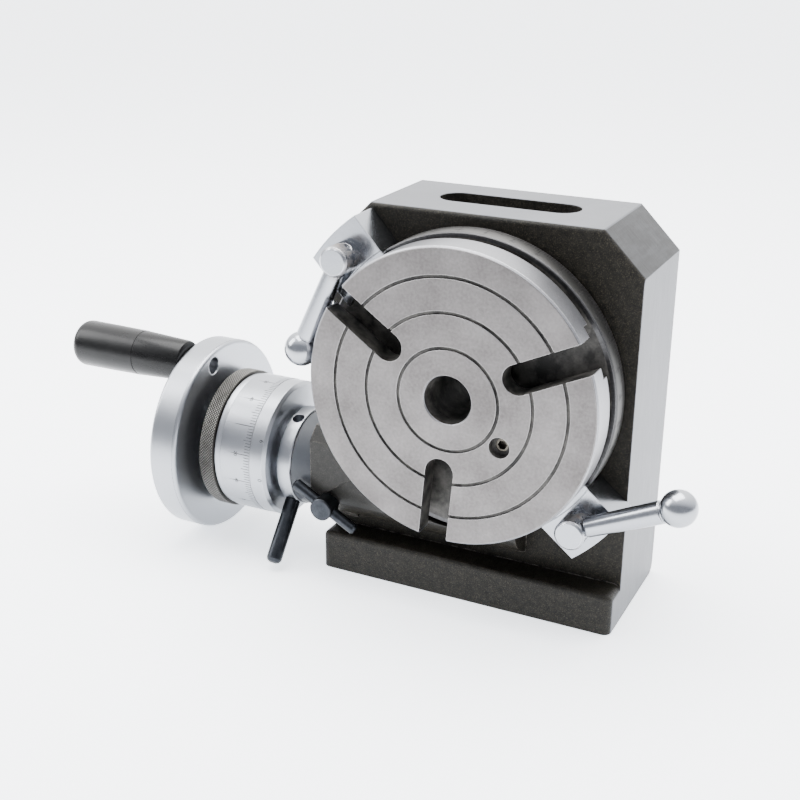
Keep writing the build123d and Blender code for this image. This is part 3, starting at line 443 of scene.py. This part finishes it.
def engraved(name, colour, radius, centre_y, centre_z, about_x, rough):
    """Turned metal whose marks, cut below the radius, hold a dark fill."""
    made = Finish(name)
    first = made.y - centre_y if about_x else made.x
    second = made.z - centre_z
    distance = (first * first + second * second).root()
    along = made.x if about_x else made.y
    filled = 1.0 - distance.step(radius - 0.00006, radius - 0.00003)
    patchy = made.noise(420.0, 3.0, 0.6).step(0.25, 0.6)
    lathe = made.noise(1.0, 3.0, 0.6, made.together(along * 9000.0, first.angle_to(second) * 8.0))
    cloud = made.noise(70.0, 3.0, 0.6)
    metal = made.blend(
        lathe * 0.5 + cloud * 0.5, tuple(c * 0.84 for c in colour), tuple(c * 1.1 for c in colour)
    )
    made.feed(
        Base_Color=made.blend(filled * (patchy * 0.35 + 0.6), metal, (0.014, 0.013, 0.012)),
        Metallic=1.0 - filled * 0.6,
        Roughness=rough + lathe * 0.08 + cloud * 0.08,
    )
    made.bump(lathe * 0.3, 0.00003)
    return made.material


fill_and_painted_shade = Finish("dark_fill_and_painted_shade")
fill_and_painted_shade.feed(
    Base_Color=fill_and_painted_shade.shades(
        fill_and_painted_shade.noise(900.0), (0.3, (0.010, 0.010, 0.010)), (0.75, (0.050, 0.048, 0.046))
    ),
    Roughness=0.6,
    Metallic=0.4,
)
fill_and_painted_shade.bump(fill_and_painted_shade.noise(2500.0), 0.00002)

scale_proud = 0.00012
scale_under = 0.0004
cut_depth = 0.00009
flange_r = 0.0563
flange_skin = flange_r + scale_proud
figures_depth = 0.01855
first_figure = 85.0
degree_marks = np.full(360, 0.0021)
degree_marks[::5] = 0.0029
degree_marks[::10] = 0.0036
degree_marks = np.roll(degree_marks, int(first_figure))
flange_scale = scale_band(
    "flange_scale",
    flange_skin,
    [0.0161, 0.0163, 0.02048, 0.02054, 0.02118, 0.02124, 0.02198, 0.02204, 0.02408],
    flange_r - scale_under,
    degree_marks,
    0.24,
    cut_depth,
    engraved("flange_metal", (0.082, 0.080, 0.077), flange_skin, face_y, axis_z, False, 0.40),
    "table",
    about_table,
)


def on_flange(spots, turned):
    """A letter's width runs round the flange, clockwise from the front, and its height
    runs back towards the casting."""
    angle = turned - spots[:, 0] / flange_skin
    return about_table(figures_depth + spots[:, 1], flange_skin + spots[:, 2] - 0.00001, angle)


flange_figures = figures(
    "flange_figures",
    [(str(ten), math.radians(first_figure - ten)) for ten in range(0, 360, 10)],
    0.0026,
    on_flange,
    fill_and_painted_shade.material,
    "table",
)


# Set screw in the face
# A small blackened screw with a hexagon socket, deep in its hole and worn bright inside.

def plain_steel(name, dark, light, rough, scale=160.0, metal=1.0, bevel=0.0003, bump=0.00004):
    """Steel as it comes off the lathe: cloudy colour, fine grain and softened edges."""
    made = Finish(name)
    rim_wear = made.worn(bevel)
    cloud = made.noise(scale, 4.0, 0.6)
    scratch = made.noise(2200.0, 2.0, 0.6)
    colour = made.shades(cloud * 0.7 + scratch * 0.3, (0.3, dark), (0.7, light))
    brighter = tuple(min(1.0, c * 1.5 + 0.05) for c in light)
    made.feed(
        Base_Color=made.blend(rim_wear * 0.5, colour, brighter),
        Metallic=metal,
        Roughness=rough + cloud * 0.12 + scratch * 0.05,
    )
    made.bump(scratch * 0.6 + cloud * 0.4, bump)
    return made.material


screw_steel = plain_steel("socket_screw_black", (0.055, 0.050, 0.042), (0.13, 0.12, 0.10), 0.30)
wear(screw_steel, "face_screw", "wheel_screws", "nut_set_screw")


# Worm wheel, its thrust washer and the bush
# Bronze: the wheel is hobbed and greasy, the washer and the bush are turned.

bronze = plain_steel("gear_bronze", (0.30, 0.19, 0.075), (0.46, 0.31, 0.14), 0.32)
wear(bronze, "worm_wheel", "thrust_washer")
brass = plain_steel("turned_brass", (0.42, 0.31, 0.13), (0.58, 0.44, 0.20), 0.28)
wear(brass, "worm_bush", "lock_pad")


# Spindle nut, worm shaft and dial hub
# Plain turned steel with a film of oil.

steel = plain_steel("turned_steel", (0.30, 0.30, 0.305), (0.44, 0.44, 0.445), 0.26)
wear(steel, "spindle_nut", "worm_shaft", "dial_hub", "handwheel_key", "handwheel_washer",
     "handwheel_nut", "crank_pin")


# Eccentric sleeve
# Turned steel with a satin chrome finish. Its collar has three lever holes, and its
# flange carries the index of the dial.

def satin_chrome(name, colour, rough, axis_point=None, bevel=0.0004):
    """Satin chrome: fine lathe lines round the X axis where a point of it is given, soft
    clouds and a slightly brighter worn edge."""
    made = Finish(name)
    rim_wear = made.worn(bevel)
    cloud = made.noise(60.0, 3.0, 0.55)
    dust = made.noise(1400.0, 2.0, 0.5)
    if axis_point:
        first, second = made.y - axis_point[0], made.z - axis_point[1]
        distance = (first * first + second * second).root()
        round_axis = made.together(
            made.x * 7000.0, distance * 7000.0, first.angle_to(second) * 3.0
        )
        lines = made.noise(1.0, 3.0, 0.6, round_axis)
    else:
        lines = made.noise(500.0, 3.0, 0.6)
    colour_now = made.blend(
        cloud * 0.6 + lines * 0.4, tuple(c * 0.88 for c in colour), tuple(c * 1.08 for c in colour)
    )
    made.feed(
        Base_Color=made.blend(rim_wear * 0.5, colour_now, (0.78, 0.79, 0.81)),
        Metallic=1.0,
        Roughness=rough + lines * 0.07 + cloud * 0.06 + dust * 0.03,
    )
    made.bump(lines * 0.7 + dust * 0.3, 0.000022)
    return made.material


throw = 0.0019 * math.cos(math.radians(45.0))
sleeve_y, sleeve_z = worm_y - throw, worm_z - throw
chrome = (0.33, 0.342, 0.365)
wear(satin_chrome("sleeve_chrome", chrome, 0.22, (sleeve_y, sleeve_z)), "eccentric_sleeve")

dial_r = 0.02765


def on_dial(height_x, size_up):
    """A letter's height runs along +X from its middle, and its width round the worm's axis."""
    def place_letter(spots, turned):
        angle = turned + spots[:, 0] / dial_r
        return about_worm(height_x + spots[:, 1], dial_r + size_up + spots[:, 2], angle)
    return place_letter


vernier_figures = figures(
    "vernier_figures",
    [("6", math.radians(154.3)), ("0", math.radians(187.7))],
    0.0027,
    on_dial(-0.0820, 0.00001),
    fill_and_painted_shade.material,
    "eccentric",
)


# Sleeve lever
# A blackened steel pin screwed into the collar, its end rounded and rubbed bright.

black_steel = plain_steel("blackened_steel", (0.016, 0.018, 0.021), (0.042, 0.045, 0.051), 0.24, 240.0)
wear(black_steel, "sleeve_lever")


# Dial
# A satin chrome ring, free to turn on its hub, with 150 engraved divisions. Every thirty
# of them are a degree of the table, and those are numbered.

dial_skin = dial_r + scale_proud
dial_marks = np.full(150, 0.0019)
dial_marks[::5] = 0.0030
dial_marks[::10] = 0.0041
figure_step = 24.0
zero_turn = math.radians(168.2 - 4 * figure_step)
dial_scale = scale_band(
    "dial_scale",
    dial_skin,
    [-0.09985, -0.0998, -0.09074, -0.09068, -0.08964, -0.08958, -0.08854, -0.08848, -0.08664],
    dial_r - scale_under,
    dial_marks,
    0.10,
    cut_depth,
    engraved("dial_chrome", chrome, dial_skin, worm_y, worm_z, True, 0.22),
    "dial",
    lambda along, radius, angle: about_worm(along, radius, angle + zero_turn),
)
dial_figures = figures(
    "dial_figures",
    [
        (str(k // 3) if k % 3 == 0 else str(20 * (k % 3)), zero_turn + math.radians(figure_step * k))
        for k in range(15)
    ],
    0.0021,
    on_dial(-0.0929, scale_proud),
    fill_and_painted_shade.material,
    "dial",
)
wear(satin_chrome("dial_body_chrome", chrome, 0.22, (worm_y, worm_z)), "dial_ring")


# Lock ring
# Steel ring beside the dial, with a diamond knurl rolled into it and a smooth band left
# next to the dial.

knurl_r = 0.0284
knurl_from, knurl_to = -0.10315, -0.1096
across_count = 150
rolls = 8
turns = np.arange(across_count * rolls) / rolls
rows = 54
stations = np.linspace(knurl_from, knurl_to, rows)
pitch = 2 * np.pi * knurl_r / across_count
lengthwise = (stations - knurl_from) / pitch


def ridge(value):
    """A wave of straight flanks, 1 at whole numbers and 0 halfway between."""
    return 2 * np.abs((value % 1.0) - 0.5)


# the height is the lower of two sets of ridges that cross, cut flat at the crests
left_hand = ridge(turns[:, None] + lengthwise[None, :])
right_hand = ridge(turns[:, None] - lengthwise[None, :])
crest_flat = 1.35
crests = np.minimum(np.minimum(left_hand, right_hand) * crest_flat, 1.0)
run_out = 3.0
taper = np.clip(np.minimum(np.arange(rows), rows - 1 - np.arange(rows)) / run_out, 0, 1)
knurl_depth = 0.00032
knurled = knurl_r - knurl_depth * (1 - crests * taper[None, :])
ring_profile = [
    (-0.1100, 0.01903),
    (-0.1000, 0.01903),
    (-0.1000, 0.02665),
    (-0.10012, 0.02705),
    (-0.1004, 0.02722),
    (-0.1027, 0.02722),
    (-0.1028, 0.02708),
    (-0.1030, 0.02708),
    (-0.1031, 0.02735),
]
lead = np.tile(np.array(ring_profile)[None, :, :], (len(turns), 1, 1))
tail = np.tile(np.array([(-0.1099, 0.0277), (-0.1100, 0.0272)])[None, :, :], (len(turns), 1, 1))
along = np.hstack([lead[:, :, 0], np.tile(stations, (len(turns), 1)), tail[:, :, 0]])
radius = np.hstack([lead[:, :, 1], knurled, tail[:, :, 1]])
angle = np.tile((turns * 2 * np.pi / across_count)[:, None], (1, along.shape[1]))
knurl = Finish("knurled_steel")
first, second = knurl.y - worm_y, knurl.z - worm_z
distance = (first * first + second * second).root()
band = knurl.x > -0.1029
deep = 1.0 - distance.step(knurl_r - 0.00026, knurl_r - 0.00002)
soil = knurl.noise(300.0, 3.0, 0.6)
crest_colour = knurl.shades(soil, (0.3, (0.125, 0.122, 0.114)), (0.7, (0.215, 0.210, 0.198)))
knurl_colour = knurl.blend(deep * 0.9, crest_colour, (0.012, 0.011, 0.009))
knurl.feed(
    Base_Color=knurl.blend(band, knurl_colour, chrome),
    Metallic=0.95,
    Roughness=0.30 + (1.0 - band) * 0.08 + soil * 0.08,
)
knurl.bump(knurl.noise(2500.0), 0.00002)
lock_ring = solid(
    "knurled_lock_ring", about_worm(along, radius, angle), knurl.material, "knurled_ring", keen=50.0
)
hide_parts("lock_ring")


# Handwheel
# A solid disc turned from steel and satin chromed, with a fine line turned into its rim.

wear(satin_chrome("handwheel_chrome", chrome, 0.24, (worm_y, worm_z), 0.0008), "handwheel")
rim_count = 360
rim_turns = np.linspace(0, 2 * np.pi, rim_count, endpoint=False)
rim_section = np.array([
    (-0.11492, 0.03940), (-0.11486, 0.03958), (-0.11472, 0.03958), (-0.11466, 0.03940),
    (-0.11466, 0.03910), (-0.11492, 0.03910),
])
# The turned line is drawn as a thin band of the dark fill: painted shade along the step where the
# rim's rounding starts.
rim_line = solid(
    "handwheel_rim_line",
    about_worm(
        np.tile(rim_section[:, 0], (rim_count, 1)),
        np.tile(rim_section[:, 1], (rim_count, 1)),
        np.tile(rim_turns[:, None], (1, len(rim_section))),
    ),
    fill_and_painted_shade.material,
    "worm",
)


# Grip
# Moulded black plastic, turned smooth: a cone, a fine joint line and a longer barrel with
# a rounded end that is sunk for the head of its pin.

crank_r = 0.0343
crank_angle = math.radians(105.5)
grip_y = worm_y + crank_r * math.cos(crank_angle)
grip_z = worm_z + crank_r * math.sin(crank_angle)
grip_from = -0.1259
grip_length = 0.0528
grip_to = grip_from - grip_length
end_rounding = 0.0036
rounding = np.linspace(0, np.pi / 2, 9)
grip_section = np.array(
    [
        (grip_from, 0.00424),
        (grip_from, 0.0074),
        (grip_from - 0.0003, 0.0080),
        (grip_from - 0.0009, 0.0083),
        (grip_from - 0.0215, 0.00925),
        (grip_from - 0.0217, 0.00912),
        (grip_from - 0.0219, 0.00912),
        (grip_from - 0.0221, 0.00932),
        (grip_from - 0.0360, 0.00951),
    ]
    + [
        (grip_to + end_rounding * (1 - math.sin(t)), 0.0066 + 0.0030 * math.cos(t))
        for t in rounding
    ]
    + [
        (grip_to + 0.00005, 0.0063),
        (grip_to + 0.0050, 0.0062),
        (grip_to + 0.0050, 0.00424),
    ]
)
grip_count = 96
grip_turns = np.linspace(0, 2 * np.pi, grip_count, endpoint=False)
grip_along = np.tile(grip_section[:, 0], (grip_count, 1))
grip_radius = np.tile(grip_section[:, 1], (grip_count, 1))
grip_points = np.stack(
    [
        grip_along,
        grip_y + grip_radius * np.cos(grip_turns)[:, None],
        grip_z + grip_radius * np.sin(grip_turns)[:, None],
    ],
    -1,
)
plastic = Finish("grip_plastic")
scuffs = plastic.noise(260.0, 4.0, 0.65, plastic.stretched(0.25, 1.0, 1.0))
handled = plastic.noise(45.0, 2.0, 0.5)
plastic.feed(
    Base_Color=plastic.shades(scuffs, (0.35, (0.0035, 0.0035, 0.0035)), (0.8, (0.011, 0.011, 0.011))),
    Roughness=0.20 + scuffs * 0.10 + handled * 0.06,
    Specular_IOR_Level=0.2,
)
plastic.bump(scuffs * 0.6 + plastic.noise(1500.0) * 0.4, 0.00005)
turned_grip = solid("turned_grip", grip_points, plastic.material, "grip_body", keen=30.0)
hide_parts("grip")


# Lock bolt and its bar
# Blackened steel. The bar slides through the bolt's head.

wear(black_steel, "lock_bolt", "lock_bar")


# Table clamps
# Satin chromed blocks, bolts and ball levers. Their cross holes and necks are tarnished
# brown where oil has dried.

clamp_chrome = Finish("clamp_chrome")
edges = clamp_chrome.worn(0.0005)
cloud = clamp_chrome.noise(90.0, 4.0, 0.6)
brush = clamp_chrome.noise(700.0, 3.0, 0.6, clamp_chrome.stretched(1.0, 0.12, 1.0))
tarnish = clamp_chrome.noise(160.0, 4.0, 0.7)
clamp_r = 0.063
cross_hole_y = face_y + 0.0065
spots = 0.0
for bolt_angle in (136.4, -42.3):
    bolt_x = clamp_r * math.cos(math.radians(bolt_angle))
    bolt_z = axis_z + clamp_r * math.sin(math.radians(bolt_angle))
    dx, dy, dz = (
        clamp_chrome.x - bolt_x, clamp_chrome.y - cross_hole_y, clamp_chrome.z - bolt_z
    )
    away = (dx * dx + dy * dy + dz * dz).root()
    spots = (1.0 - away.step(0.0052, 0.0088)) + spots
front_face = clamp_chrome.y < face_y + 0.0012
tarnished = spots * tarnish.step(0.42, 0.66) * (1.0 - front_face)
metal = clamp_chrome.blend(
    cloud * 0.6 + brush * 0.4, tuple(c * 0.84 for c in chrome), tuple(c * 1.08 for c in chrome)
)
metal = clamp_chrome.blend(edges * 0.6, metal, (0.80, 0.80, 0.81))
clamp_chrome.feed(
    Base_Color=clamp_chrome.blend(tarnished * 0.7, metal, (0.16, 0.11, 0.07)),
    Metallic=1.0 - tarnished * 0.4,
    Roughness=0.13 + cloud * 0.08 + brush * 0.07 + tarnished * 0.3,
)
clamp_chrome.bump(brush * 0.6 + cloud * 0.4, 0.00003)
for side in ("upper", "lower"):
    wear(clamp_chrome.material, f"{side}_clamp_block", f"{side}_clamp_bolt", f"{side}_clamp_lever")


# Studio
# A pale table top that darkens towards the camera, a bright sky behind and overhead that
# dims in front, two large soft lights, and the camera where the photograph was taken from.

paper = Finish("pale_floor")
# The floor's colour is painted darker towards the camera: painted shade where its light falls off.
# Beyond that strip it also glows.
paper.feed(
    Base_Color=paper.shades(
        paper.y * 0.5 + paper.noise(3.0) * 0.04 + 0.5,
        (0.0, (0.30, 0.305, 0.32)),
        (0.25, (0.62, 0.625, 0.64)),
        (0.42, (0.90, 0.905, 0.92)),
        (0.60, (0.93, 0.935, 0.95)),
    ),
    Roughness=0.7,
    Emission_Color=paper.shades(
        paper.y * 0.5 + 0.5, (0.0, (0.0, 0.0, 0.0)), (0.44, (0.90, 0.95, 1.0))
    ),
    Emission_Strength=1.7,
)
floor_mesh = bpy.data.meshes.new("floor")
reach = 4.0
floor_mesh.from_pydata(
    [(-reach, -reach, 0), (reach, -reach, 0), (reach, reach, 0), (-reach, reach, 0)],
    [],
    [(0, 1, 2, 3)],
)
floor_mesh.materials.append(paper.material)
floor = bpy.data.objects.new("floor", floor_mesh)
bpy.context.scene.collection.objects.link(floor)
floor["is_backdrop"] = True

world = bpy.data.worlds.new("studio")
bpy.context.scene.world = world
world.use_nodes = True
sky = world.node_tree
direction = sky.nodes.new("ShaderNodeTexCoord")
slope = sky.nodes.new("ShaderNodeVectorMath")
slope.operation = "DOT_PRODUCT"
slope.inputs[1].default_value = (-0.10, 0.42, 0.55)
ramp = sky.nodes.new("ShaderNodeValToRGB")
sky.links.new(direction.outputs["Generated"], slope.inputs[0])
sky.links.new(slope.outputs["Value"], ramp.inputs["Fac"])
stops = ramp.color_ramp.elements
stops[0].position = 0.0
stops[0].color = (0.16, 0.165, 0.18, 1.0)
stops[1].position = 0.34
stops[1].color = (0.62, 0.63, 0.66, 1.0)
zenith = stops.new(0.62)
zenith.color = (1.0, 1.0, 1.0, 1.0)
sky.links.new(ramp.outputs["Color"], sky.nodes["Background"].inputs["Color"])
sky.nodes["Background"].inputs["Strength"].default_value = 4.2


def softbox(name, place, aim, width, height, power, colour=(1, 1, 1)):
    light = bpy.data.lights.new(name, "AREA")
    light.shape = "RECTANGLE"
    light.size = width
    light.size_y = height
    light.energy = power
    light.color = colour
    lamp = bpy.data.objects.new(name, light)
    bpy.context.scene.collection.objects.link(lamp)
    lamp.location = place
    lamp.rotation_euler = (Vector(aim) - Vector(place)).to_track_quat("-Z", "Y").to_euler()


softbox("overhead", (-0.1, 0.1, 0.95), (0, 0, 0.08), 0.9, 0.7, 22.0)
softbox("left", (-0.8, -0.3, 0.6), (-0.05, 0, 0.08), 0.4, 0.6, 8.0)

lens = bpy.data.cameras.new("camera")
focal_pixels, picture_width = 1287.455, 800
lens.sensor_width = 36.0
lens.lens = focal_pixels * lens.sensor_width / picture_width
camera = bpy.data.objects.new("camera", lens)
bpy.context.scene.collection.objects.link(camera)
right = Vector((0.896961, 0.442049, 0.007342))
down = Vector((0.167529, -0.324473, -0.931145))
ahead = Vector((-0.409139, 0.836248, -0.365095))
turn = Matrix((right, -down, -ahead)).transposed()
camera.matrix_world = Matrix.Translation((0.168678, -0.425299, 0.250733)) @ turn.to_4x4()
bpy.context.scene.camera = camera

[[list(map(float, corner)) for corner in box] for box in (cad_box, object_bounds())]
